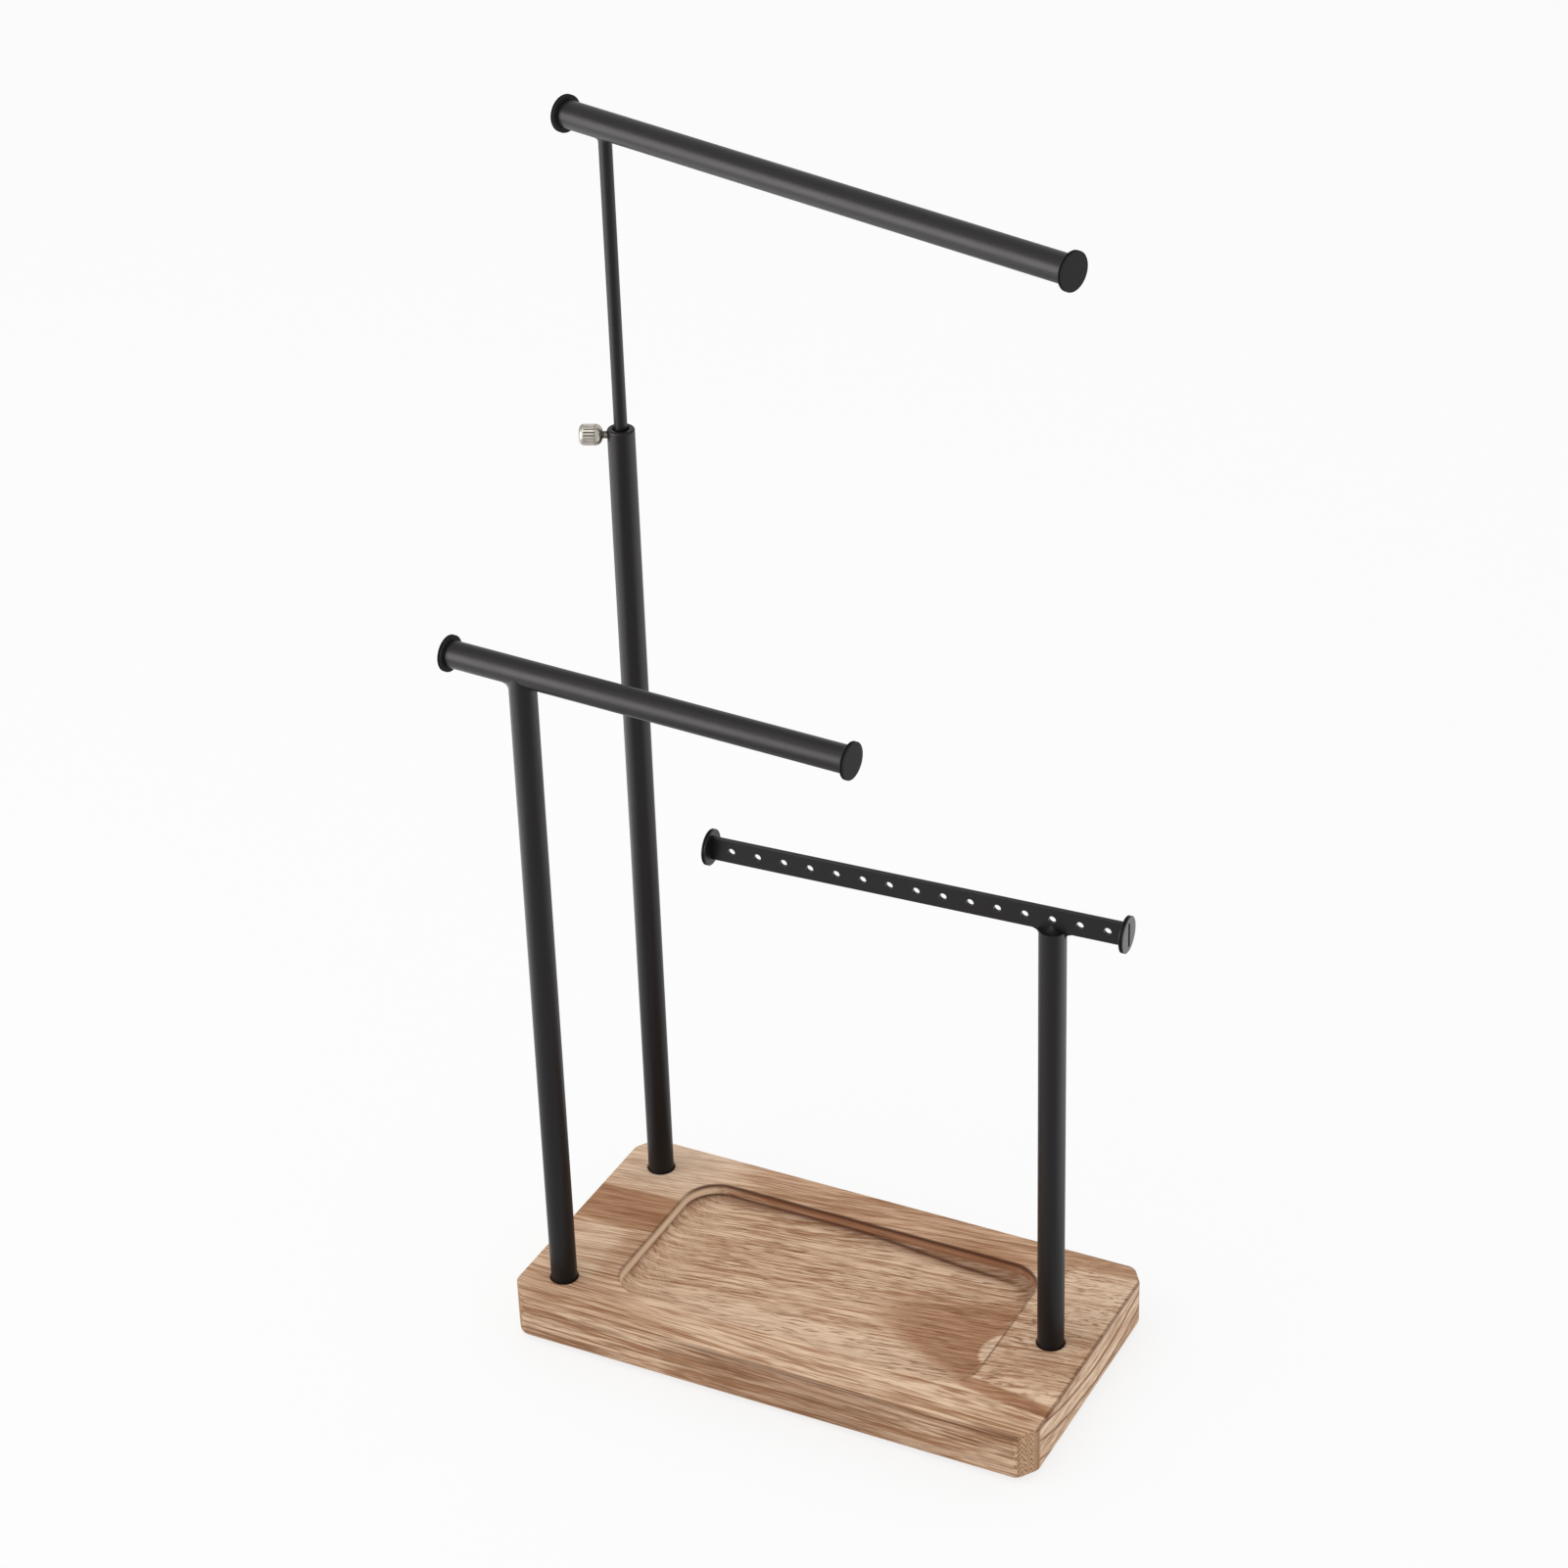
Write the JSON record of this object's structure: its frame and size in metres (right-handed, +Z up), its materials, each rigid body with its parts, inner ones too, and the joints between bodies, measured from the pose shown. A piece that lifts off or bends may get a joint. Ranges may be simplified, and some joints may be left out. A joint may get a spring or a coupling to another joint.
{
  "type": "necklace stand",
  "caption": "Necklace and earring stand: wooden board with a coved ring tray, black posts with level bars, a telescoping rear post with thumbscrew and a perforated earring strip.",
  "frame": {"origin": "centre of the board's outline, on the surface that the foot pads stand on", "axes": "+Z up, +X along the board to the short earring post, +Y to the rear"},
  "size_m": [0.2434, 0.1109, 0.4617],
  "materials": {
    "wood": "pale brown wood with straight grain, thin matt oil",
    "black_coat": "satin black powder coat on steel",
    "cap_black": "satin black, slightly greyer than the tubes",
    "nickel": "nickel plated, straight knurling",
    "zinc": "zinc plated",
    "glide_plastic": "moulded acetal",
    "pad_rubber": "matt foam rubber"
  },
  "bodies": {
    "frame": {"base_board": "wood", "foot_pads": "pad_rubber", "rear_post_tube": "black_coat", "guide_bush": "black_coat", "rear_post_insert": "zinc", "front_post_tube": "black_coat", "front_post_insert": "zinc", "right_post_tube": "black_coat", "right_post_insert": "zinc", "post_screws": "zinc", "post_washers": "zinc", "mid_bar_tube": "black_coat", "mid_bar_welds": "black_coat", "mid_bar_left_cap": "cap_black", "mid_bar_right_cap": "cap_black", "earring_bar": "black_coat", "earring_bar_welds": "black_coat", "earring_bar_left_disc": "black_coat", "earring_bar_right_disc": "black_coat"},
    "rod_carrier": {"rod_glide": "glide_plastic"},
    "top_arm": {"inner_rod": "black_coat", "top_bar_tube": "black_coat", "top_bar_weld": "black_coat", "top_bar_left_cap": "cap_black", "top_bar_right_cap": "cap_black"},
    "clamp_stud": {"clamp_stud": "nickel"},
    "clamp_knob": {"clamp_knob": "nickel"}
  },
  "joints": [
    {"name": "height_slide", "type": "slide", "parent": "frame", "child": "rod_carrier", "axis": [0, 0, 1], "range_m": [-0.104, 0.033]},
    {"name": "top_swivel", "type": "hinge", "parent": "rod_carrier", "child": "top_arm", "pos_m": [-0.0918, 0.039, 0.2885], "axis": [0, 0, 1], "continuous": true},
    {"name": "clamp_advance", "type": "slide", "parent": "frame", "child": "clamp_stud", "axis": [-0.9205, -0.3907, 0], "range_m": [0, 0.00075]},
    {"name": "clamp_turn", "type": "hinge", "parent": "clamp_stud", "child": "clamp_knob", "pos_m": [-0.0918, 0.039, 0.3394], "axis": [-0.9205, -0.3907, 0], "range_deg": [0, 540]}
  ],
  "couplings": [
    {"joint": "clamp_turn", "follows": "clamp_advance", "rad_per_m": 12566}
  ]
}
